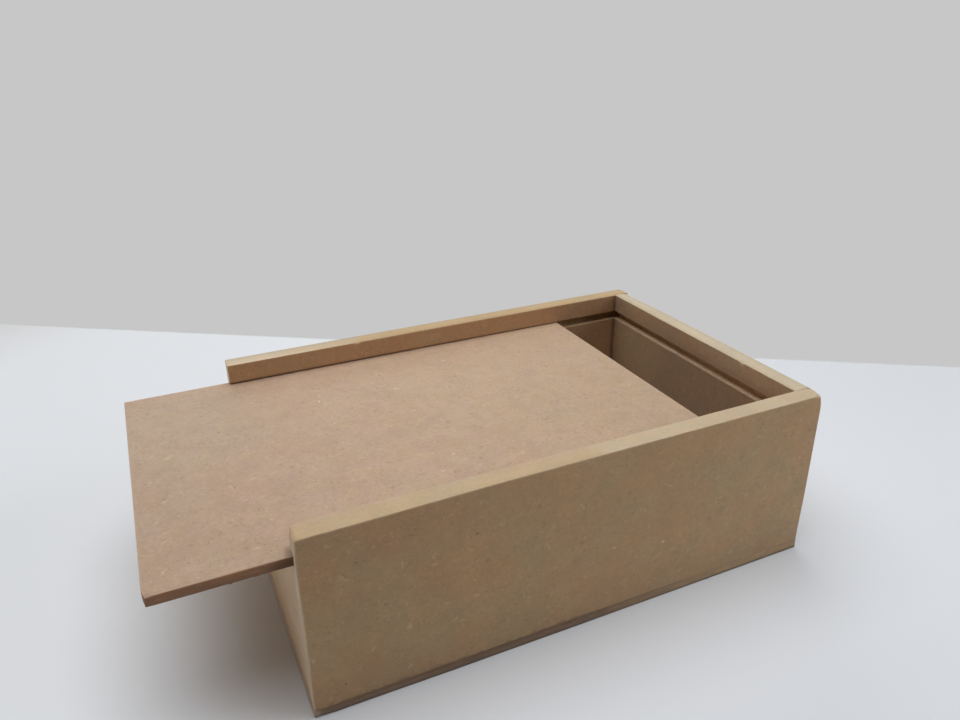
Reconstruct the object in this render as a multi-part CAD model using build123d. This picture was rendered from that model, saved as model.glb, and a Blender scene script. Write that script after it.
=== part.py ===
from build123d import *
import os

# A sliding lid box in raw MDF board, for papers and keepsakes. Lengths are in millimetres.
# +X runs from the front end, over which the lid pulls out, to the back.
# +Y is the box's left side and +Z is up. The origin is the centre of the box's underside.
# The lid stands partly drawn out past the front end.

# The box without its lid, measured outside
box_length = 164.0
box_width = 111.0
wall_height = 54.5  # side walls and back wall, from the bottom panel up
wall_thickness = 6.0  # one board makes all four walls
bottom_thickness = 3.0

# The lid, and the groove that it runs in
lid_length = 163.5
lid_thickness = 2.8
lip_height = 7.0  # wall left standing above the groove
groove_depth = 3.0  # cut into the inner faces of the side walls and the back wall
lid_drawn_out = 30.4  # how far the lid stands out from its closed place

# Clearances of the lid in its groove
lid_side_gap = 0.4  # each long edge to the bottom of its groove
lid_end_gap = 0.4  # back edge of the closed lid to the bottom of the back wall's groove
lid_under_gap = 0.15  # lid to the shelf that it slides on
lid_over_gap = 0.25  # lid to the lip above it

# Sanding of the edges that a hand touches
edge_round = 0.4

# Heights above the bottom panel, shared by the walls and the lid
groove_height = lid_under_gap + lid_thickness + lid_over_gap
groove_shelf = wall_height - lip_height - groove_height

# Wall left between the bottom of the groove and the outside
groove_web = wall_thickness - groove_depth

# The front and back walls stand between the side walls
end_wall_length = box_width - 2 * wall_thickness

ON_FLOOR = (Align.CENTER, Align.CENTER, Align.MIN)
FROM_INNER_FACE = (Align.CENTER, Align.MIN, Align.MIN)


def plain_board(length, height):
    """A wall board along X. Its inner face is on the XZ plane, and its outer face towards +Y."""
    return Box(length, wall_thickness, height, align=FROM_INNER_FACE)


def grooved_board(length, closed_end=0):
    """A full-height wall board, with the lid's groove milled along it.

    closed_end: how far short of the +X end the groove stops."""
    groove_length = length - closed_end
    groove = Box(groove_length, groove_depth, groove_height, align=FROM_INNER_FACE)
    return plain_board(length, wall_height) - Pos(-closed_end / 2, 0, groove_shelf) * groove


def side_wall():
    """The left side board. Its groove ends level with the bottom of the back wall's groove.

    The rim is sanded all round, and so are the two upright edges at the box's corners."""
    board = grooved_board(box_length, groove_web)
    rim_edges = board.faces().sort_by(Axis.Z)[-1].edges()
    corner_edges = board.edges().filter_by(Axis.Z).group_by(Axis.Y)[-1]
    return fillet(rim_edges + corner_edges, edge_round)


def back_wall():
    """The board that closes the back. Its ends are glued, so only its rim's long edges are sanded."""
    board = grooved_board(end_wall_length)
    rim_edges = board.faces().sort_by(Axis.Z)[-1].edges().filter_by(Axis.X)
    return fillet(rim_edges, edge_round)


def front_wall():
    """The lower board at the front, level with the groove's shelf, so that the lid passes over it."""
    board = plain_board(end_wall_length, groove_shelf)
    top_edges = board.faces().sort_by(Axis.Z)[-1].edges().filter_by(Axis.X)
    return fillet(top_edges, edge_round)


def bottom_panel():
    """A thin panel as large as the box, glued under all four walls."""
    panel = Box(box_length, box_width, bottom_thickness, align=ON_FLOOR)
    return fillet(panel.edges().filter_by(Axis.Z), edge_round)


def sliding_lid():
    """A plain thin panel that reaches into the grooves at both sides, lying on Z = 0."""
    lid_width = box_width - 2 * (groove_web + lid_side_gap)
    panel = Box(lid_length, lid_width, lid_thickness, align=ON_FLOOR)
    return fillet(panel.edges().filter_by(Axis.Z), edge_round)


# Inner faces of the walls, from the origin
side_inner_face = box_width / 2 - wall_thickness
end_inner_face = box_length / 2 - wall_thickness

# Middle of the lid as it stands
lid_back_edge = box_length / 2 - groove_web - lid_end_gap - lid_drawn_out
lid_middle = lid_back_edge - lid_length / 2
lid_underside = bottom_thickness + groove_shelf + lid_under_gap

pieces = {
    "bottom_panel": bottom_panel(),
    "left_side_wall": Pos(0, side_inner_face, bottom_thickness) * side_wall(),
    "right_side_wall": Pos(0, -side_inner_face, bottom_thickness) * mirror(side_wall(), about=Plane.XZ),
    "back_wall": Pos(end_inner_face, 0, bottom_thickness) * Rot(0, 0, -90) * back_wall(),
    "front_wall": Pos(-end_inner_face, 0, bottom_thickness) * Rot(0, 0, 90) * front_wall(),
    "sliding_lid": Pos(lid_middle, 0, lid_underside) * sliding_lid(),
}

os.makedirs("parts", exist_ok=True)
for name, piece in pieces.items():
    export_step(piece, f"parts/{name}.step")
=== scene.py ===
import itertools
import math
from collections import namedtuple

import bpy
import numpy as np
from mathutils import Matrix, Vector


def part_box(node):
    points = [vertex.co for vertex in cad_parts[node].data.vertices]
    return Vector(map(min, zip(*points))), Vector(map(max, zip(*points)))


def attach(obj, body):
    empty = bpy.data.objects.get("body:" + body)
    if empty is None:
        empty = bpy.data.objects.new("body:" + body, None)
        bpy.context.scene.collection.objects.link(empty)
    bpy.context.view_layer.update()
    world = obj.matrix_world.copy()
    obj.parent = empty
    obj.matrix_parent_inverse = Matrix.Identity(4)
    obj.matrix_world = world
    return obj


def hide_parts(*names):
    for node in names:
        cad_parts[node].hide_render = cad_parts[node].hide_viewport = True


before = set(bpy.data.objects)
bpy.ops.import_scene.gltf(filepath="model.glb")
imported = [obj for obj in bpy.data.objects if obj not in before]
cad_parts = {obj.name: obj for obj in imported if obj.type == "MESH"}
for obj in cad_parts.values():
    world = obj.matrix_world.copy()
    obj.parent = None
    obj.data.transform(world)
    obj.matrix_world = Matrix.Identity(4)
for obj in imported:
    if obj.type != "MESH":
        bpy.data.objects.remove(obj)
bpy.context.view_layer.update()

# A sliding lid box in raw MDF. Each board is a mesh of its own, with sanded and worn edges, which
# stands for its CAD solid. Lengths are in millimetres until a mesh or an object is made, which is
# in metres.
MM = 0.001
X, Y, Z = 0, 1, 2
LOW, HIGH = 0, 1

# -------------------------------------------------------------------------------------------------
# The frame's own sizes
# -------------------------------------------------------------------------------------------------


def node_box(node):
    """A CAD node's lowest and highest corners, in millimetres."""
    low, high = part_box(node)
    return np.array(low) / MM, np.array(high) / MM


LID_SIDE_GAP = 0.4  # lid's long edge to the bottom of its groove
LID_OVER_GAP = 0.25  # lid to the lip above it

lid_low, lid_high = node_box("sliding_lid")
near_low, near_high = node_box("right_side_wall")
far_low, far_high = node_box("left_side_wall")
front_end, back_end = near_low[X], near_high[X]
outside, near_inside, rim = near_low[Y], near_high[Y], near_high[Z]
far_inside, far_outside = far_low[Y], far_high[Y]
near_middle = (outside + near_inside) / 2
back_inside = node_box("back_wall")[LOW][X]
lid_top = lid_high[Z]

GROOVE_SHELF = node_box("front_wall")[HIGH][Z]
GROOVE_LIP = lid_top + LID_OVER_GAP
GROOVE_DEPTH = lid_high[Y] + LID_SIDE_GAP - far_inside
GROOVE_WEB = near_inside - outside - GROOVE_DEPTH  # wall between the groove and the outside

# -------------------------------------------------------------------------------------------------
# Board meshes: a fine lattice over each board, pulled in at its edges
# -------------------------------------------------------------------------------------------------

CLOSE_STEPS = (0.0, 0.08, 0.17, 0.28, 0.42, 0.62, 0.95, 1.4)  # lattice lines beside each edge
CLOSE_SHARE = 0.4  # of the way to the next edge that those lines may take
WAVE_LENGTH, WAVE_DEPTH = 28.0, 0.08  # of the slow unevenness of a sanded edge
RAGGED_LENGTH = 1.6  # of the raggedness along an edge
SMALLEST_ROUND = 0.05
GLUED_ROUND = 0.25  # share of an edge's radius that is left at a glue joint
GLUED_REACH = 2.0  # how far from the joint the edge is round again
SHARP_ANGLE = 50  # degrees between two quads that still look smooth together
FAR_AWAY = 99.0
TOUCHING = 1e-3
TINY = 1e-9  # so that nothing is divided by 0
NOISE_CELLS = 32


class Noise:
    """Smooth random values from 0 to 1 through space, the same at each run."""

    def __init__(self, seed):
        self.table = np.random.default_rng(seed).random((NOISE_CELLS,) * 3)

    def at(self, points, size, shift=0):
        """A value at each point, in blobs of about this size. Another shift gives other blobs."""
        place = (points + shift) / size
        cell = np.floor(place).astype(int)
        share = place - cell
        share = share * share * (3 - 2 * share)
        total = np.zeros(len(points))
        for corner in itertools.product((0, 1), repeat=3):
            weight = np.prod(np.where(corner, share, 1 - share), axis=1)
            index = (cell + corner) % NOISE_CELLS
            total += weight * self.table[index[:, X], index[:, Y], index[:, Z]]
        return total


def nearness(points, place, reach):
    """1 at the place, falling smoothly to 0 at this reach, which is one length or one for each axis."""
    distance = np.linalg.norm((points - np.array(place)) / reach, axis=1)
    return (1 - distance.clip(0, 1) ** 2) ** 2


def graded(planes, step):
    """Lattice coordinates through every plane, about a step apart and closing up beside each plane."""
    stops = sorted(planes)
    lines = [stops[0]]
    for start, end in zip(stops, stops[1:]):
        close = [s for s in CLOSE_STEPS if s < CLOSE_SHARE * (end - start)]
        count = max(1, round((end - start - 2 * close[-1]) / step))
        lines += [start + s for s in close[1:-1]]
        lines += list(np.linspace(start + close[-1], end - close[-1], count + 1))
        lines += [end - s for s in reversed(close[:-1])]
    return np.array(lines)


def skin(filled):
    """The quads between filled and empty lattice cells, and the axis that each of them faces.

    Each quad is the lattice indices of its four corners, so all of them are an array (n, 4, 3)."""
    padded = np.pad(filled, 1)
    quads, axes = [], []
    for axis, side in itertools.product((X, Y, Z), (-1, 1)):
        cells = np.argwhere(padded & ~np.roll(padded, -side, axis)) - 1
        first, second = np.eye(3, dtype=int)[[(axis + 1) % 3, (axis + 2) % 3]]
        corners = [0 * first, first, first + second, second]
        if side < 0:
            corners.reverse()
        base = cells + (side > 0) * np.eye(3, dtype=int)[axis]
        quads.append(base[:, None, :] + np.array(corners)[None])
        axes.append(np.full(len(base), axis))
    return np.concatenate(quads), np.concatenate(axes)


class Board:
    """One board of the box, between the corners of its CAD node.

    across: the axis of its thickness. step: lattice spacing along each axis. seed: of its noise.
    edge: radius of the edges beside the inner and the outer face. ragged: how much it varies.
    grooved: it has the lid's groove. closed: how far short of its high X end the groove stops.
    glued: faces, as (axis, LOW or HIGH), whose edges stay tight.
    short: what was sawn off too much at a face, as (axis, LOW or HIGH, amount).
    worn: where edges are rounder, as (place, reach, extra radius).
    chips: where the board is chipped or pushed out of shape, as (place, reach, shift)."""

    def __init__(self, node, across, step, seed, edge, ragged=0.12, grooved=False, closed=0.0,
                 glued=(), short=(), worn=(), chips=()):
        self.node, self.across, self.noise = node, across, Noise(seed)
        self.edge, self.ragged, self.grooved, self.glued = edge, ragged, grooved, glued
        self.worn, self.chips = worn, chips
        self.low, self.high = node_box(node)
        # A groove that isn't closed runs past the board's end.
        self.groove_end = self.high[X] - closed if closed else self.high[X] + 1
        for axis, plane, amount in short:
            (self.low, self.high)[plane][axis] += amount if plane == LOW else -amount
        # The inner face is the one nearer the middle of the box.
        self.inner, self.outer = sorted((self.low[across], self.high[across]), key=abs)
        planes = [[self.low[a], self.high[a]] for a in (X, Y, Z)]
        if grooved:
            planes[across].append(self.inner + math.copysign(GROOVE_DEPTH, self.outer - self.inner))
            planes[Z] += [GROOVE_SHELF, GROOVE_LIP]
            if closed:
                planes[X].append(self.groove_end)
        self.lines = [graded(planes[a], step[a]) for a in (X, Y, Z)]

    def from_plane(self, points, axis, plane):
        """Each point's distance from the face at the low or the high end of this axis."""
        return np.abs(points[:, axis] - (self.low, self.high)[plane][axis])

    def in_cut(self, points, slack):
        """Whether each point is no deeper than the groove, and before its end."""
        deep = np.abs(points[:, self.across] - self.inner)
        return (deep < GROOVE_DEPTH + slack) & (points[:, X] < self.groove_end + slack)

    def filled(self):
        """Which lattice cells are board and not groove."""
        middles = [(line[1:] + line[:-1]) / 2 for line in self.lines]
        grid = np.stack(np.meshgrid(*middles, indexing="ij"), axis=-1)
        points = grid.reshape(-1, 3)
        solid = np.ones(len(points), bool)
        if self.grooved:
            between = (points[:, Z] > GROOVE_SHELF) & (points[:, Z] < GROOVE_LIP)
            solid = ~(between & self.in_cut(points, 0))
        return solid.reshape(grid.shape[:3])

    def surface(self):
        """The lattice points on the board's skin, its quads of them, and the axis that each faces."""
        corners, axes = skin(self.filled())
        counts = [len(line) for line in self.lines]
        flat = np.ravel_multi_index(corners.reshape(-1, 3).T, counts)
        used, quads = np.unique(flat, return_inverse=True)
        index = np.stack(np.unravel_index(used, counts), axis=1)
        points = np.stack([self.lines[a][index[:, a]] for a in (X, Y, Z)], axis=1)
        return points, quads.reshape(-1, 4), axes

    def to_faces(self, points):
        """Each point's distance to the nearest face along each axis, and which way that face looks."""
        low = np.tile(self.low, (len(points), 1))
        high = np.tile(self.high, (len(points), 1))
        if self.grooved:
            cut = self.in_cut(points, -TOUCHING)
            high[cut & (points[:, Z] < GROOVE_SHELF + TOUCHING), Z] = GROOVE_SHELF
            low[cut & (points[:, Z] > GROOVE_LIP - TOUCHING), Z] = GROOVE_LIP
        below, above = points - low, high - points
        return np.minimum(below, above).clip(0), np.where(above < below, 1, -1)

    def rounding(self, points):
        """How round an edge is beside each point.

        It is sanded and ragged, worn away at some places, and tight where it is glued."""
        ragged = self.noise.at(points, RAGGED_LENGTH)
        ragged = ragged + self.noise.at(points, 4 * RAGGED_LENGTH, shift=50) - 1
        share = (points[:, self.across] - self.inner) / (self.outer - self.inner)
        inner, outer = self.edge
        radius = (inner + (outer - inner) * share) * (1 + self.ragged * ragged)
        for axis, plane in self.glued:
            distance = self.from_plane(points, axis, plane) / GLUED_REACH
            radius *= GLUED_ROUND + (1 - GLUED_ROUND) * distance.clip(0, 1)
        for place, reach, extra in self.worn:
            radius += extra * nearness(points, place, reach)
        return radius.clip(SMALLEST_ROUND)

    def shaped(self, points):
        """The points pulled in to rounded, slightly uneven edges, and then moved by the chips."""
        distance, side = self.to_faces(points)
        radius = self.rounding(points)
        pull = (radius[:, None] - distance).clip(0)
        length = np.linalg.norm(pull, axis=1)
        outward = side * pull / np.maximum(length, TINY)[:, None]
        moved = points - side * pull + radius[:, None] * outward
        uneven = WAVE_DEPTH * self.noise.at(points, WAVE_LENGTH, shift=90)
        moved -= uneven[:, None] * outward
        for place, reach, shift in self.chips:
            moved += nearness(points, place, reach)[:, None] * np.array(shift)
        return moved

    def cut(self, corners, axes):
        """0 for each quad on the board's two pressed faces, 1 on its sawn outline, 2 in its groove."""
        place = corners[np.arange(len(axes)), 0, axes]
        outer = np.isclose(place, self.low[axes]) | np.isclose(place, self.high[axes])
        return np.where(outer, np.where(axes == self.across, 0, 1), 2).astype(np.int32)

    def measures(self, points):
        """What the materials read at each point.

        It is the distance from the nearest bare outer edge, the distance from a glue joint, and
        the place across the thickness, from -1 to 1."""
        distance = np.minimum(points - self.low, self.high - points)
        from_glue = np.full(len(points), FAR_AWAY)
        for axis, plane in self.glued:
            away = self.from_plane(points, axis, plane)
            distance[away < distance[:, axis] + TOUCHING, axis] = FAR_AWAY
            from_glue = np.minimum(from_glue, away)
        middle = (self.low + self.high)[self.across] / 2
        half = (self.high - self.low)[self.across] / 2
        return {
            "from_edge": np.sort(distance, axis=1)[:, 1],
            "from_glue": from_glue,
            "across": (points[:, self.across] - middle) / half,
        }

    def build(self, body, materials):
        """Makes the piece, which stands for its node and rides on the body."""
        points, quads, axes = self.surface()
        mesh = bpy.data.meshes.new(self.node + "_board")
        mesh.from_pydata((self.shaped(points) * MM).tolist(), [], quads.tolist())
        for material in materials:
            mesh.materials.append(material)
        mesh.polygons.foreach_set("material_index", self.cut(points[quads], axes))
        mesh.polygons.foreach_set("use_smooth", np.ones(len(axes), bool))
        mesh.set_sharp_from_angle(angle=math.radians(SHARP_ANGLE))
        for name, values in self.measures(points).items():
            attribute = mesh.attributes.new(name, "FLOAT", "POINT")
            attribute.data.foreach_set("value", values.astype(np.float32))
        mesh.update()

        piece = bpy.data.objects.new(self.node + "_mdf", mesh)
        bpy.context.scene.collection.objects.link(piece)
        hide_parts(self.node)
        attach(piece, body)


# -------------------------------------------------------------------------------------------------
# Colours
# -------------------------------------------------------------------------------------------------


def from_screen(red, green, blue):
    """A colour as it looks on a screen, 0 to 255, as the light that the shader wants."""
    shares = [c / 255 for c in (red, green, blue)]
    linear = [s / 12.92 if s <= 0.04 else ((s + 0.055) / 1.055) ** 2.4 for s in shares]
    return (*linear, 1.0)


def on_screen(*colours):
    """Colours as they look on a screen, for the shader."""
    return [from_screen(*colour) for colour in colours]


def swung(tone, red, yellow):
    """The tone, redder and yellower by about these shares, or greener and bluer below 0."""
    return tone[0] * (1 + red), tone[1] * (1 - 0.6 * red), tone[2] * (1 - 1.3 * red - yellow), 1.0


PALE_FIBRE = from_screen(222, 202, 170)
DARK_FIBRE = from_screen(100, 74, 50)
GLUE_STAIN = from_screen(112, 80, 56)

WARM, COOL = (1.02, 0.99, 0.96, 1.0), (0.98, 1.01, 1.04, 1.0)  # blotches of an edge

# -------------------------------------------------------------------------------------------------
# Raw MDF
# -------------------------------------------------------------------------------------------------

COLOUR_A, COLOUR_B, COLOUR_OUT = 6, 7, 2  # a Mix node's sockets for colours
SEED_STEP = (17.3, 9.1, 5.7)  # how far the next seed moves a texture
SHOWN_FULLY = 0.6  # of the cells with a fibre
SHEEN = 0.2
CURL_SCALE, CURL_AMOUNT = 0.7, 2.6  # how tightly and how far the fibres curl
SANDED_STREAK, SAWN_STREAK = 1.6, 4.5  # how long the streaks of such an edge are
SANDED_CONTRAST, SAWN_CONTRAST = 0.05, 0.14

# Fibres lie every way in the board's plane, at most one in each cell. The share is that of the
# cells that hold one, the strength is how much of its colour it shows, flocked fibres lie in
# flocks, and the relief is how far they stand out.
Fibres = namedtuple("Fibres", "cell length width share seed colour strength flocked relief")
FACE_FIBRES = (
    Fibres(11.0, 2.7, 1.0, 0.8, 1, PALE_FIBRE, 0.2, False, 0.5),
    Fibres(3.4, 1.9, 0.7, 0.6, 6, PALE_FIBRE, 0.12, True, 0.0),
    Fibres(3.1, 1.8, 0.7, 0.6, 7, DARK_FIBRE, 0.2, True, 0.0),
    Fibres(1.7, 1.1, 0.42, 0.6, 2, PALE_FIBRE, 0.12, True, 0.4),
    Fibres(1.6, 1.0, 0.45, 0.6, 3, DARK_FIBRE, 0.2, True, 0.0),
    Fibres(8.0, 1.0, 0.6, 0.35, 4, DARK_FIBRE, 0.4, False, -0.6),
)


class Nodes:
    """A node tree, with a short call for each kind of node that the looks need."""

    def __init__(self, tree):
        self.tree = tree

    def feed(self, socket, value):
        if isinstance(value, bpy.types.NodeSocket):
            self.tree.links.new(value, socket)
        else:
            socket.default_value = value

    def add(self, kind, inputs, **settings):
        node = self.tree.nodes.new("ShaderNode" + kind)
        for name, value in settings.items():
            setattr(node, name, value)
        for name, value in inputs.items():
            self.feed(node.inputs[name], value)
        return node

    def math(self, operation, first, second):
        return self.add("Math", {0: first, 1: second}, operation=operation).outputs[0]

    def vector(self, operation, first, second=(0, 0, 0), output="Vector"):
        return self.add("VectorMath", {0: first, 1: second}, operation=operation).outputs[output]

    def length(self, vector):
        return self.vector("LENGTH", vector, output="Value")

    def mix(self, share, first, second):
        inputs = {0: share, COLOUR_A: first, COLOUR_B: second}
        return self.add("Mix", inputs, data_type="RGBA").outputs[COLOUR_OUT]

    def product(self, *values):
        total = values[0]
        for value in values[1:]:
            total = self.math("MULTIPLY", total, value)
        return total

    def tinted(self, colour, factors):
        """The colour, each of its three lights multiplied by a factor of its own."""
        inputs = {0: 1.0, COLOUR_A: colour, COLOUR_B: factors}
        node = self.add("Mix", inputs, data_type="RGBA", blend_type="MULTIPLY")
        return node.outputs[COLOUR_OUT]

    def shade(self, colour, value):
        """The colour, made lighter or darker by this factor."""
        grey = self.add("CombineColor", {0: value, 1: value, 2: value}).outputs[0]
        return self.tinted(colour, grey)

    def ramp(self, value, low, high, to_low=0.0, to_high=1.0):
        """Value, carried smoothly from low..high to to_low..to_high, and held there outside."""
        inputs = {"Value": value, "From Min": low, "From Max": high}
        inputs |= {"To Min": to_low, "To Max": to_high}
        return self.add("MapRange", inputs, interpolation_type="SMOOTHSTEP").outputs[0]

    def noise(self, place, size, detail=2.0, roughness=0.5):
        inputs = {"Vector": place, "Scale": 1 / size, "Detail": detail, "Roughness": roughness}
        return self.add("TexNoise", inputs).outputs["Fac"]

    def shifted(self, place, seed):
        """The place, moved so that a texture looks different there for each seed."""
        return self.vector("ADD", place, [step * seed for step in SEED_STEP]) if seed else place

    def blobs(self, place, size, detail, roughness=0.5, seed=0, spread=0.2, to=(0.0, 1.0)):
        """Blobs of about this size that go between two values. A wide spread makes them softer."""
        noise = self.noise(self.shifted(place, seed), size, detail, roughness)
        return self.ramp(noise, 0.5 - spread, 0.5 + spread, *to)

    def uneven(self, amount, place, size, detail=2.0, roughness=0.5, seed=0, spread=0.25):
        """A factor that goes to and fro about 1 by this amount, in blobs of about this size."""
        return self.blobs(place, size, detail, roughness, seed, spread, (1 - amount, 1 + amount))

    def present(self, chance, share):
        """1 in most of this share of the cells, less in the others of it, and 0 in all the rest."""
        return self.ramp(chance, 1 - share, 1 - SHOWN_FULLY * share)

    def fibres(self, place, kind):
        """1 on a fibre of this kind, on a plane across Z."""
        place = self.shifted(place, kind.seed)
        inputs = {"Vector": place, "Scale": 1 / kind.cell}
        cells = self.add("TexVoronoi", inputs, voronoi_dimensions="2D")
        local = self.vector("SUBTRACT", place, cells.outputs["Position"])
        chance = self.add("SeparateColor", {0: cells.outputs["Color"]}).outputs
        inputs = {"Vector": local, "Angle": self.product(chance[0], math.pi)}
        turned = self.add("VectorRotate", inputs, rotation_type="Z_AXIS").outputs[0]
        scaled = self.vector("MULTIPLY", turned, (2 / kind.length, 2 / kind.width, 0))
        on = self.ramp(self.length(scaled), 0.35, 1.0, 1.0, 0.0)
        return self.product(on, self.present(chance[1], kind.share))

    def dashes(self, place, length, thickness, share, seed):
        """The same fibres cut through: short dashes along the board's plane."""
        scale = (1 / length, 1 / length, 1 / thickness)
        flattened = self.vector("MULTIPLY", self.shifted(place, seed), scale)
        inputs = {"Vector": flattened, "Scale": 1.0}
        cells = self.add("TexVoronoi", inputs, voronoi_dimensions="3D")
        on = self.ramp(cells.outputs["Distance"], 0.2, 0.5, 1.0, 0.0)
        chance = self.add("SeparateColor", {0: cells.outputs["Color"]}).outputs
        return self.product(on, self.present(chance[1], share))

    def attribute(self, name):
        return self.add("Attribute", {}, attribute_name=name).outputs["Fac"]

    def millimetres(self):
        """The frame's coordinates, in millimetres."""
        place = self.vector("SCALE", self.add("TexCoord", {}).outputs["Object"])
        place.node.inputs["Scale"].default_value = 1 / MM
        return place

    def with_z_across(self, place, across):
        """The same coordinates, turned so that Z is across the board's thickness."""
        if across == Z:
            return place
        parts = self.add("SeparateXYZ", {0: place}).outputs
        order = {Y: (X, Z, Y), X: (Y, Z, X)}[across]
        return self.add("CombineXYZ", {i: parts[k] for i, k in enumerate(order)}).outputs[0]

    def marked(self, colour, at, marks):
        """The colour with flecks and soft patches, each as (place, radii, factors of the colour)."""
        for centre, radii, factors in marks:
            from_centre = self.vector("SUBTRACT", at, centre)
            off = self.length(self.vector("MULTIPLY", from_centre, [1 / r for r in radii]))
            on = self.ramp(off, 0.3, 1.0, 1.0, 0.0)
            colour = self.mix(on, colour, self.tinted(colour, (*factors, 1.0)))
        return colour


class Look(Nodes):
    """A material's nodes."""

    def __init__(self, name):
        self.material = bpy.data.materials.new(name)
        self.material.use_nodes = True
        super().__init__(self.material.node_tree)
        self.shader = self.tree.nodes["Principled BSDF"]


class BoardLook(Look):
    """The nodes of a board's material, in millimetres: at is the frame's coordinates, at_axis is
    the three of them, and place is the same with Z across the board's thickness."""

    def __init__(self, name, across):
        super().__init__(name)
        self.at = self.millimetres()
        self.at_axis = self.add("SeparateXYZ", {0: self.at}).outputs
        self.place = self.with_z_across(self.at, across)

    def clouded(self, tone, clouds, red, yellow):
        """The tone, going to and fro between red and green, and between yellow and blue."""
        warmth = self.blobs(self.place, 6.0, detail=4.0, roughness=0.6, seed=9)
        yellower = self.mix(clouds, swung(tone, red, yellow), swung(tone, -red, yellow))
        bluer = self.mix(clouds, swung(tone, red, -yellow), swung(tone, -red, -yellow))
        return self.mix(warmth, yellower, bluer)

    def grain(self, drift):
        """How light the face is: haze, mottle, coarse and fine grain, and the slow drifts of painted
        light and shade.
        """
        shade = self.product(
            self.uneven(0.03, self.place, 12.0, seed=3),
            self.uneven(0.065, self.place, 5.0, detail=5.0, roughness=0.9, seed=5, spread=0.2),
            self.uneven(0.045, self.place, 1.3, roughness=0.7, seed=6),
            self.uneven(0.045, self.place, 0.42, spread=0.3),
        )
        for axis, start, end, first, last in drift:
            shade = self.product(shade, self.ramp(self.at_axis[axis], start, end, first, last))
        return shade

    def fibred(self, colour):
        """The colour with its curled fibres, and the relief of the face."""
        inputs = {"Vector": self.place, "Scale": CURL_SCALE, "Detail": 1.0}
        curl = self.add("TexNoise", inputs).outputs["Color"]
        curl = self.vector("MULTIPLY", curl, (CURL_AMOUNT, CURL_AMOUNT, 0))
        bent = self.vector("ADD", self.place, curl)
        flocks = self.blobs(self.place, 7.0, detail=2.0, seed=8, spread=0.12, to=(0.35, 1.3))
        relief = self.product(self.noise(self.place, 0.5, detail=3.0), 0.9)
        for kind in FACE_FIBRES:
            on = self.fibres(bent, kind)
            shown = self.product(on, flocks) if kind.flocked else on
            colour = self.mix(self.product(shown, kind.strength), colour, kind.colour)
            if kind.relief:
                relief = self.math("ADD", relief, self.product(on, kind.relief))
        return colour, relief

    def rubbed(self, colour, edge_tone):
        """The colour, where sanding has rubbed through the skin at the edges, in patches."""
        beside_edge = self.ramp(self.attribute("from_edge"), 0.2, 0.55, 1.0, 0.0)
        patches = self.blobs(self.place, 5.0, detail=3.0, spread=0.15, to=(0.4, 0.9))
        return self.mix(self.product(beside_edge, patches), colour, edge_tone)

    def glue_stain_and_painted_shade(self, colour, clouds, unstained):
        """The colour, stained and darker beside the glue joints, with painted shade within 15 mm of
        them.
        """
        from_glue = self.attribute("from_glue")
        ragged = self.blobs(self.place, 2.5, detail=3.0, to=(-0.5, 0.7))
        beside = self.math("ADD", from_glue, ragged)
        if unstained:
            wobble = self.ramp(clouds, 0.0, 1.0, -8.0, 8.0)
            along = self.math("ADD", self.at_axis[X], wobble)
            beside = self.math("ADD", beside, self.ramp(along, *unstained, 0.0, 4.0))
        colour = self.shade(colour, self.ramp(beside, 0.2, 3.4, 0.93, 1.0))
        # Painted shade: darker within 15 mm of a glue joint, at the foot of each wall and in the box's
        # corners.
        colour = self.shade(colour, self.ramp(from_glue, 2.0, 15.0, 0.93, 1.0))
        return self.mix(self.ramp(beside, 0.1, 0.9, 0.55, 0.0), colour, GLUE_STAIN)

    def finished(self, colour, roughness, relief, bump_strength, bump_depth):
        """The material, with its shader fed."""
        bump = {"Height": relief, "Strength": bump_strength, "Distance": bump_depth * MM}
        self.feed(self.shader.inputs["Base Color"], colour)
        self.feed(self.shader.inputs["Roughness"], roughness)
        self.feed(self.shader.inputs["Normal"], self.add("Bump", bump).outputs[0])
        self.shader.inputs["Sheen Weight"].default_value = SHEEN
        return self.material


def mdf_face(name, across, tone, edge_tone, swings=(0.03, 0.02), drift=(), marks=(),
             unstained=None):
    """The pressed face of a board: hazy tones, fine grain and curled fibres.

    swings: how much the tone goes between red and green, and between yellow and blue.
    drift: painted light and shade, a slow change of the tone over the board, each as (axis, from, to,
    factor there and here).
    marks: single flecks and soft patches, some of them painted light and shade.
    unstained: the X where the glue's stain starts to fade, and where it is gone."""
    look = BoardLook(name, across)
    clouds = look.blobs(look.place, 16.0, detail=4.0, roughness=0.6)
    colour = look.shade(look.clouded(tone, clouds, *swings), look.grain(drift))
    colour, relief = look.fibred(colour)
    colour = look.rubbed(look.marked(colour, look.at, marks), edge_tone)
    colour = look.glue_stain_and_painted_shade(colour, clouds, unstained)
    roughness = look.blobs(look.place, 4.0, detail=3.0, to=(0.6, 0.75))
    return look.finished(colour, roughness, relief, bump_strength=0.4, bump_depth=0.05)


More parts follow.
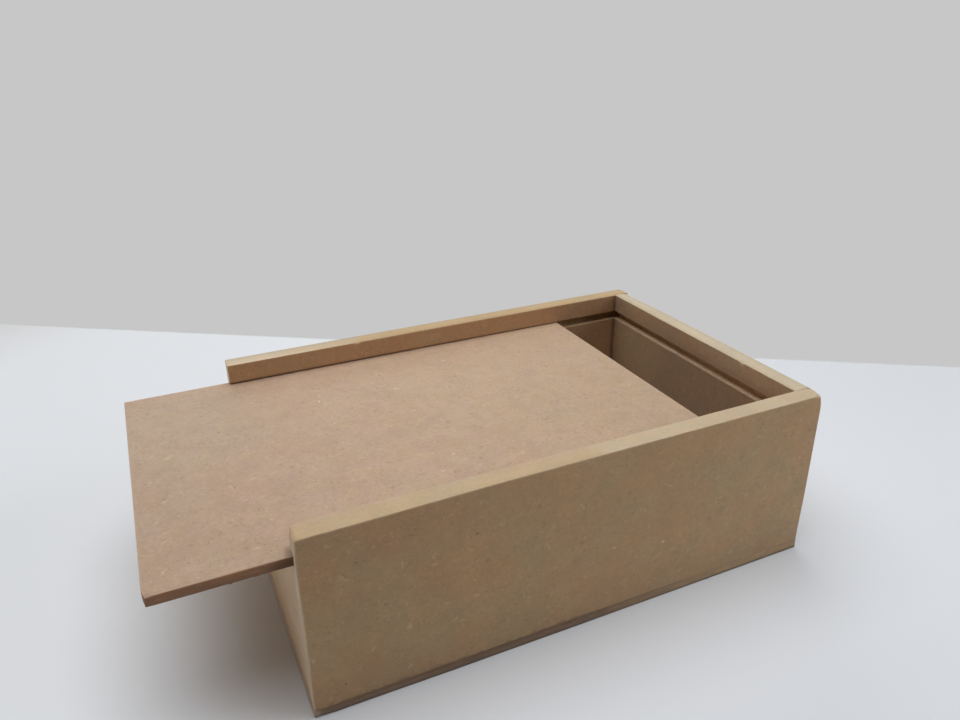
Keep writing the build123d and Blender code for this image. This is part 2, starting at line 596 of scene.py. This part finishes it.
def mdf_edge(name, across, layers, contrast, streak, turn=None, marks=()):
    """A sawn or sanded edge: a soft core between two denser skins, with its fibres cut through.

    layers: the colours of the low skin, the core and the high skin. streak: its streaks' length.
    turn: (from, to, layers), the X where the edge starts and ends to turn into other colours.
    marks: soft patches, some of them painted light and shade."""
    look = BoardLook(name, across)
    stretched = look.vector("MULTIPLY", look.place, (1 / streak, 1 / streak, 1.3))
    clouds = look.noise(look.place, 12.0, detail=3.0)

    def cloudy(low, high):
        return look.ramp(clouds, 0.3, 0.7, low, high)

    patchy = cloudy(0.65, 1.0)
    from_middle = look.attribute("across")
    low_share = look.product(look.ramp(from_middle, -0.9, -0.1, 1.0, 0.0), patchy)
    high_share = look.product(look.ramp(from_middle, 0.1, 0.75), patchy)

    def layered(low_skin, core, high_skin):
        return look.mix(high_share, look.mix(low_share, core, low_skin), high_skin)

    colour = layered(*layers)
    if turn:
        start, end, turned_layers = turn
        along = look.math("ADD", look.at_axis[X], cloudy(-6.0, 6.0))
        colour = look.mix(look.ramp(along, start, end), colour, layered(*turned_layers))
    colour = look.marked(colour, look.at, marks)
    blotches = look.blobs(look.place, 4.0, detail=3.0, roughness=0.6, seed=4)
    colour = look.mix(blotches, look.tinted(colour, WARM), look.tinted(colour, COOL))
    streaks = look.uneven(contrast, stretched, 1.0, detail=4.0, roughness=0.6)
    colour = look.shade(colour, look.product(streaks, cloudy(0.95, 1.05)))

    pale = look.dashes(look.place, length=2.6, thickness=0.5, share=0.4, seed=1)
    dark = look.dashes(look.place, length=2.0, thickness=0.45, share=0.4, seed=2)
    colour = look.mix(look.product(pale, 0.5 * contrast), colour, PALE_FIBRE)
    colour = look.mix(look.product(dark, contrast), colour, DARK_FIBRE)
    relief = look.math("ADD", look.product(pale, 0.5), look.noise(stretched, 0.5, detail=4.0))
    return look.finished(colour, 0.85, relief, bump_strength=0.6, bump_depth=0.5 * contrast)


def turned_on_screen(turn):
    """An edge's turn, with its colours for the shader."""
    if turn is None:
        return None
    start, end, layers = turn
    return start, end, on_screen(*layers)


def wall_materials(name, across, tone, rim_layers, rim_turn=None, rim_marks=(), groove_tone=None,
                   groove_marks=(), **face):
    """The pressed face, the sanded edge and the milled groove of a 6 mm board, in that order."""
    layers = on_screen(*rim_layers)
    edge = mdf_edge(name + "_sanded_edge", across, layers, SANDED_CONTRAST, SANDED_STREAK,
                    turned_on_screen(rim_turn), rim_marks)
    groove_layers = on_screen(*[groove_tone or tone] * 3)
    groove = mdf_edge(name + "_groove", across, groove_layers, SAWN_CONTRAST, SAWN_STREAK,
                      marks=groove_marks)
    core = layers[1]
    return mdf_face(name + "_face", across, from_screen(*tone), core, **face), edge, groove


def thin_materials(name, tone, layers, turn=None, edge_marks=(), **face):
    """The pressed face and the sawn edge of a thin board, in that order."""
    tone = from_screen(*tone)
    edge = mdf_edge(name + "_sawn_edge", Z, on_screen(*layers), SAWN_CONTRAST, SAWN_STREAK,
                    turned_on_screen(turn), edge_marks)
    return mdf_face(name + "_face", Z, tone, tone, **face), edge


# -------------------------------------------------------------------------------------------------
# The boards' shapes
# -------------------------------------------------------------------------------------------------

WALL_EDGE = (0.2, 0.25)
UNDER_WALL, BOTH_ENDS = (Z, LOW), ((Y, LOW), (Y, HIGH))

right_side_wall = Board(
    "right_side_wall", across=Y, step=(0.9, 1.0, 2.0), seed=1, edge=WALL_EDGE,
    grooved=True, closed=GROOVE_WEB, glued=(UNDER_WALL,),
    worn=(
        ((back_end, outside, rim), 4.5, 1.15),  # the corner that is sanded rounder
        ((front_end, outside, 20), (3, 3, 60), 0.15),
        ((front_end, near_middle, rim), (3, 7, 3), 0.9),
    ),
    chips=(
        ((front_end, outside, rim), (60, 7, 7), (0, 0, -0.55)),  # the rim slopes outwards here
        ((back_end, outside, 0), (12, 12, 22), (-0.4, 0, 0)),
        ((front_end, outside, 0), (9, 9, 30), (-0.25, 0, 0)),
        ((front_end, near_middle, rim), (4, 9, 14), (0.35, 0, 0)),
    ),
)
left_side_wall = Board(
    "left_side_wall", across=Y, step=(0.9, 1.0, 2.0), seed=2, edge=(0.12, 0.25),
    grooved=True, closed=GROOVE_WEB, glued=(UNDER_WALL,),
    short=((X, LOW, 0.6),),
    chips=(
        ((-35.3, far_inside, rim), 1.3, (0, 0.3, -0.5)),
        ((-60, far_inside, GROOVE_LIP), (130, 1.5, 0.65), (0, 0.35, 0.12)),  # the lip is worn
        ((back_end, far_outside, rim), (5, 5, 12), (-0.3, -0.2, 0)),
    ),
)
back_wall = Board(
    "back_wall", across=X, step=(1.0, 0.9, 2.0), seed=3, edge=(0.2, 0.15),
    grooved=True, glued=(UNDER_WALL, *BOTH_ENDS),
    worn=(((back_inside, far_inside, GROOVE_SHELF), (2, 160, 2), 0.1),),
    chips=(
        ((back_inside, -25.5, rim), 1.3, (0.3, 0, -0.5)),
        ((back_inside, -30, rim), (3, 50, 4), (0.45, 0, -0.1)),
        ((back_end, far_outside, rim), (4, 70, 9), (-0.35, 0, -0.1)),
        ((back_end, far_inside, rim), (4, 30, 9), (-0.6, 0, -0.1)),
    ),
)
front_wall = Board(
    "front_wall", across=X, step=(1.2, 0.9, 2.2), seed=4, edge=WALL_EDGE,
    glued=(UNDER_WALL, *BOTH_ENDS),
)
bottom_panel = Board(
    "bottom_panel", across=Z, step=(1.0, 1.4, 0.8), seed=5, edge=(0.12, 0.2), ragged=0.3,
    glued=((Z, HIGH),),
    worn=(((front_end, outside, 0), 4.0, 0.15),),
    chips=(
        ((front_end, 0, 0), (3, 300, 2.8), (-0.5, 0, 0)),
        ((50, outside, 0), (110, 3, 2.2), (0, -0.2, 0)),
        ((front_end, outside, 0), (45, 5, 3), (0, 0.35, 0.1)),
        ((front_end, outside, 0), (6, 6, 6), (0, 0.2, 0.1)),
        ((back_end, outside, 0), (12, 12, 12), (-0.4, 0, 0)),
        ((44.5, outside, 0), (0.9, 1.5, 1.5), (0, -0.1, 0)),
    ),
)
sliding_lid = Board(
    "sliding_lid", across=Z, step=(0.7, 1.0, 0.7), seed=6, edge=(0.08, 0.14), ragged=0.5,
    worn=(
        ((-98, lid_low[Y], lid_top), (60, 3, 3), 0.3),
        ((-90, lid_low[Y], lid_top), (20, 3, 3), 0.35),
    ),
    chips=(
        ((lid_low[X], lid_low[Y], lid_top), 2.2, (0.5, 0.3, -0.45)),
        ((lid_low[X], lid_low[Y], lid_low[Z]), 2.5, (0.4, 0.1, 0)),
        ((-96.5, lid_low[Y], lid_low[Z]), 0.7, (0, -0.15, -0.1)),
        ((-90.4, lid_low[Y], lid_low[Z]), 0.7, (0, -0.15, -0.1)),
    ),
)

# -------------------------------------------------------------------------------------------------
# The boards' looks. Colours are as on a screen. Those of an edge go from its low side to its high
# side. Where a place in a mark lies on a face, its radius across that face only has to reach it.
# -------------------------------------------------------------------------------------------------

PALE_FLECK, PALER_FLECK, DARK_FLECK = (1.25, 1.28, 1.3), (1.6, 1.7, 1.8), (0.35, 0.3, 0.25)

# Towards the back the bottom's edge was sanded down with the near wall, and their joint is gone.
FLUSH_START, FLUSH_END = -8.0, 50.0
# The glue of the front wall and of the bottom has left no stain: they lie beyond this fade.
UNSTAINED = (front_end - 60, front_end - 30)

near_materials = wall_materials(
    "near_wall", Y, tone=(173, 138, 96),
    rim_layers=((188, 163, 129), (192, 167, 132), (190, 165, 137)),
    # Painted sheen: the near rim is paler towards its back end.
    rim_turn=(-4.0, 12.0, [(195, 174, 144)] * 3),
    rim_marks=(
        ((front_end, near_middle, rim), (6, 9, 9), (1.05, 1.0, 0.98)),
        ((back_end, near_inside, rim), (1.8, 1.8, 2), (0.5, 0.46, 0.4)),
    ),
    swings=(0.045, 0.02),
    # Painted light: the near face is darker towards its front end and lighter towards its back end.
    drift=((X, front_end, -10.0, 0.91, 1.0), (X, 0.0, back_end, 1.0, 1.04)),
    marks=(
        ((-73.5, outside, 8.6), (0.5, 1, 0.35), DARK_FLECK),
        ((-35.4, outside, 43.9), (0.7, 1, 0.3), DARK_FLECK),
        ((-47.6, outside, 38.2), (1.5, 1, 0.6), PALE_FLECK),
        ((-36.0, outside, 23.7), (1.3, 1, 0.6), PALE_FLECK),
        ((-44.5, outside, 24.2), (1.0, 1, 0.4), PALE_FLECK),
        ((25.4, outside, 20.9), (0.9, 1, 0.7), PALER_FLECK),
        ((7.8, outside, 24.5), (0.9, 1, 0.9), PALE_FLECK),
        ((-64, outside, rim), (48, 2, 22), (0.98, 0.93, 0.92)),
    ),
    unstained=(FLUSH_START, FLUSH_END),
)
# Along the far corner's joint the far wall is darker, a glue line with painted corner shade, and the
# back wall is lighter beside it.
far_materials = wall_materials(
    "far_wall", Y, tone=(179, 140, 102),
    rim_layers=((181, 148, 106), (190, 163, 121), (185, 160, 126)),
    # Painted highlight: the far rim is paler towards its front end.
    rim_turn=(-20.0, -60.0, [(210, 189, 160), (202, 182, 153), (184, 170, 147)]),
    # Painted shade: the far groove's tone is darker than the back wall's groove tone, as in the shade
    # of its lip.
    groove_tone=(184, 152, 110),
    # A glue line with painted corner shade on the far wall's inner face.
    marks=(((back_inside, far_inside, 20), (2.2, 2, 60), (0.55, 0.5, 0.48)),),
)
back_materials = wall_materials(
    "back_wall", X, tone=(180, 144, 110),
    rim_layers=((194, 178, 149), (201, 186, 159), (195, 179, 152)),
    groove_tone=(228, 197, 161),
    # Painted shade along the groove's shelf edge.
    groove_marks=(((back_inside, 0, GROOVE_SHELF), (1.4, 900, 1.4), (0.62, 0.63, 0.63)),),
    marks=(((back_inside, 34, 42), (9, 26, 26), (1.18, 1.2, 1.1)),),
)
# Painted light: the front wall's tone is lighter than the other walls'.
front_materials = wall_materials(
    "front_wall", X, tone=(198, 168, 130),
    rim_layers=((188, 163, 129), (192, 167, 132), (188, 163, 129)),
    unstained=UNSTAINED,
)
# The bottom's edge is darker along the table that it stands on, a painted contact shadow, and paler at
# the front, painted light.
bottom_materials = thin_materials(
    "bottom", tone=(164, 134, 102),
    layers=((117, 92, 71), (122, 96, 73), (111, 82, 58)),
    turn=(FLUSH_START, FLUSH_END, [(169, 139, 102)] * 3),
    edge_marks=(
        # Painted contact shadow along the foot, and painted light on the front edge.
        ((0, 0, 0), (900, 900, 0.8), (0.5, 0.5, 0.5)),
        ((70, 0, 0), (65, 900, 1.3), (0.5, 0.53, 0.54)),
        ((front_end, 0, 2.0), (2.5, 90, 7), (2.7, 3.2, 4.0)),
    ),
    unstained=UNSTAINED,
)
# Where the lid goes in beside the near wall's end, its edge and its top are darker: painted shade.
lid_materials = thin_materials(
    "lid", tone=(185, 156, 131),
    layers=((124, 88, 59), (133, 94, 63), (138, 93, 64)),
    # Painted shade on the lid's edge where it goes into the groove.
    edge_marks=(((front_end, lid_low[Y], lid_low[Z]), (8, 3, 4), (0.6, 0.55, 0.45)),),
    swings=(0.015, 0.045),
    # Painted light and shade: the lid is darker at its front end, towards its back end and along its
    # near side, and lighter beside the far wall.
    drift=(
        (X, lid_low[X], lid_low[X] + 75, 0.90, 1.0),
        (X, -20.0, lid_high[X], 1.0, 0.96),
        (Y, -45.0, 20.0, 0.96, 1.0),
        (Y, 10.0, 45.0, 1.0, 1.04),
    ),
    marks=(
        ((-56.5, 23.8, lid_top), (0.35, 1.2, 1), PALER_FLECK),
        ((-30.8, 4.0, lid_top), (1.3, 0.8, 1), PALE_FLECK),
        ((-30.8, 21.7, lid_top), (1.0, 0.8, 1), PALE_FLECK),
        ((-7.5, 35.7, lid_top), (1.0, 0.7, 1), PALE_FLECK),
        ((-29.5, -26.0, lid_top), (1.0, 0.8, 1), PALE_FLECK),
        ((-35.5, -33.1, lid_top), (1.0, 0.7, 1), PALE_FLECK),
        ((-105.1, 8.0, lid_top), (1.2, 0.9, 1), PALE_FLECK),
        ((-88.8, -45.1, lid_top), (1.5, 0.7, 1), PALE_FLECK),
        # Painted light: the lid is lighter beside the far wall's lip towards its back end.
        ((46, lid_high[Y], lid_top), (60, 20, 9), (1.07, 1.07, 1.06)),
        ((-100, 22, lid_top), (34, 38, 9), (0.975, 1.03, 1.045)),
        ((30, 10, lid_top), (90, 75, 9), (1.0, 1.01, 0.97)),
        # Painted shade on the lid's top beside the near wall's end.
        ((front_end - 0.1, near_inside - 1.6, lid_top), (2.0, 4.5, 1), (0.6, 0.58, 0.55)),
    ),
)

right_side_wall.build("box", near_materials)
left_side_wall.build("box", far_materials)
back_wall.build("box", back_materials)
front_wall.build("box", front_materials)
bottom_panel.build("box", bottom_materials)
sliding_lid.build("lid", lid_materials)

# -------------------------------------------------------------------------------------------------
# Floor, light and camera, in metres
# -------------------------------------------------------------------------------------------------

FLOOR_RADIUS, FLOOR_CORNERS = 6.0, 96
FLOOR_DROP = 0.02 * MM  # so that the floor and the box's underside don't fall together
FLOOR_COLOUR, FLOOR_ROUGHNESS = (0.775, 0.808, 0.857, 1.0), 0.6
FAR_COLOUR = (0.57, 0.57, 0.57, 1.0)  # what the camera sees of the far floor and beyond
FADE_START, FADE_END = 0.28, 0.42
TO_BACKDROP = (0.545, 0.838, 0)  # the floor ends in a line behind the box, square to this
BACKDROP_START, BACKDROP_END = 0.1535, 0.1565


def seen(nodes):
    """1 where the camera sees the surface, also by a reflection, and 0 where it only gives light."""
    path = nodes.add("LightPath", {}).outputs
    shown = nodes.math("MAXIMUM", path["Is Camera Ray"], path["Is Glossy Ray"])
    return nodes.math("MAXIMUM", shown, path["Is Transmission Ray"])


def make_floor():
    """A pale round floor, which turns into the plain backdrop behind the box and far off."""
    bpy.ops.mesh.primitive_circle_add(vertices=FLOOR_CORNERS, radius=FLOOR_RADIUS,
                                      fill_type="NGON", location=(0, 0, -FLOOR_DROP))
    floor = bpy.context.object
    floor.name = "studio_floor"
    look = Look("floor_paint")
    look.shader.inputs["Base Color"].default_value = FLOOR_COLOUR
    look.shader.inputs["Roughness"].default_value = FLOOR_ROUGHNESS
    place = look.add("TexCoord", {}).outputs["Object"]
    far_off = look.ramp(look.length(place), FADE_START, FADE_END)
    backwards = look.vector("DOT_PRODUCT", place, TO_BACKDROP, output="Value")
    behind = look.ramp(backwards, BACKDROP_START, BACKDROP_END)
    faded = look.product(look.math("MAXIMUM", far_off, behind), seen(look))
    far_light = look.add("Emission", {"Color": FAR_COLOUR}).outputs[0]
    surface = look.add("MixShader", {0: faded, 1: look.shader.outputs[0], 2: far_light})
    look.feed(look.tree.nodes["Material Output"].inputs["Surface"], surface.outputs[0])
    floor.data.materials.append(look.material)


def make_world():
    """A backdrop that the camera sees and that gives no light."""
    world = bpy.data.worlds.new("studio")
    bpy.context.scene.world = world
    world.use_nodes = True
    nodes = Nodes(world.node_tree)
    background = world.node_tree.nodes["Background"]
    background.inputs["Color"].default_value = FAR_COLOUR
    nodes.feed(background.inputs["Strength"], seen(nodes))


LAMP_TARGET = Vector((0, 0, 0.03))


def soft_lamp(name, place, size, level, colour=(1.0, 1.0, 1.0)):
    """A round soft lamp on the box. At level 1 it alone shows a white card there as white."""
    place = Vector(place)
    data = bpy.data.lights.new(name, "AREA")
    data.shape, data.size, data.color = "DISK", size, colour
    distance_squared = (place - LAMP_TARGET).length_squared
    data.energy = level * math.pi ** 2 * (distance_squared + (size / 2) ** 2)
    lamp = bpy.data.objects.new(name, data)
    lamp.location = place
    lamp.rotation_mode = "QUATERNION"
    lamp.rotation_quaternion = (LAMP_TARGET - place).to_track_quat("-Z", "Y")
    lamp.visible_camera = False
    bpy.context.scene.collection.objects.link(lamp)


make_floor()
make_world()
soft_lamp("overhead", (-0.08, 0.02, 0.8), size=0.92, level=0.715)
soft_lamp("behind", (0.24, 0.65, 0.40), size=0.6, level=0.138, colour=(1.0, 0.97, 0.92))
soft_lamp("behind_left", (-0.20, 0.65, 0.40), size=0.6, level=0.1, colour=(1.0, 0.96, 0.9))
soft_lamp("right", (0.62, -0.42, 0.5), size=0.5, level=0.168)
soft_lamp("right_low", (0.54, -0.32, 0.14), size=0.28, level=0.075)
soft_lamp("left", (-0.60, 0.25, 0.045), size=0.14, level=0.12, colour=(1.0, 0.84, 0.62))

# The camera stands where the photograph was taken from, with a phone's wide lens.
IMAGE_WIDTH, FOCAL_PIXELS, SENSOR_WIDTH = 960, 776.9, 36
CAMERA_AT = (-101.581, -206.039, 168.065)  # millimetres
CAMERA_TURN = (65.528, 0.887, -24.634)  # degrees
CLIP_START = 0.01

camera_data = bpy.data.cameras.new("phone")
camera_data.sensor_width = SENSOR_WIDTH
camera_data.lens = FOCAL_PIXELS / IMAGE_WIDTH * SENSOR_WIDTH
camera_data.clip_start = CLIP_START
camera = bpy.data.objects.new("phone", camera_data)
camera.location = [c * MM for c in CAMERA_AT]
camera.rotation_euler = [math.radians(turn) for turn in CAMERA_TURN]
bpy.context.scene.collection.objects.link(camera)
bpy.context.scene.camera = camera
bpy.context.scene.view_settings.view_transform = "Standard"
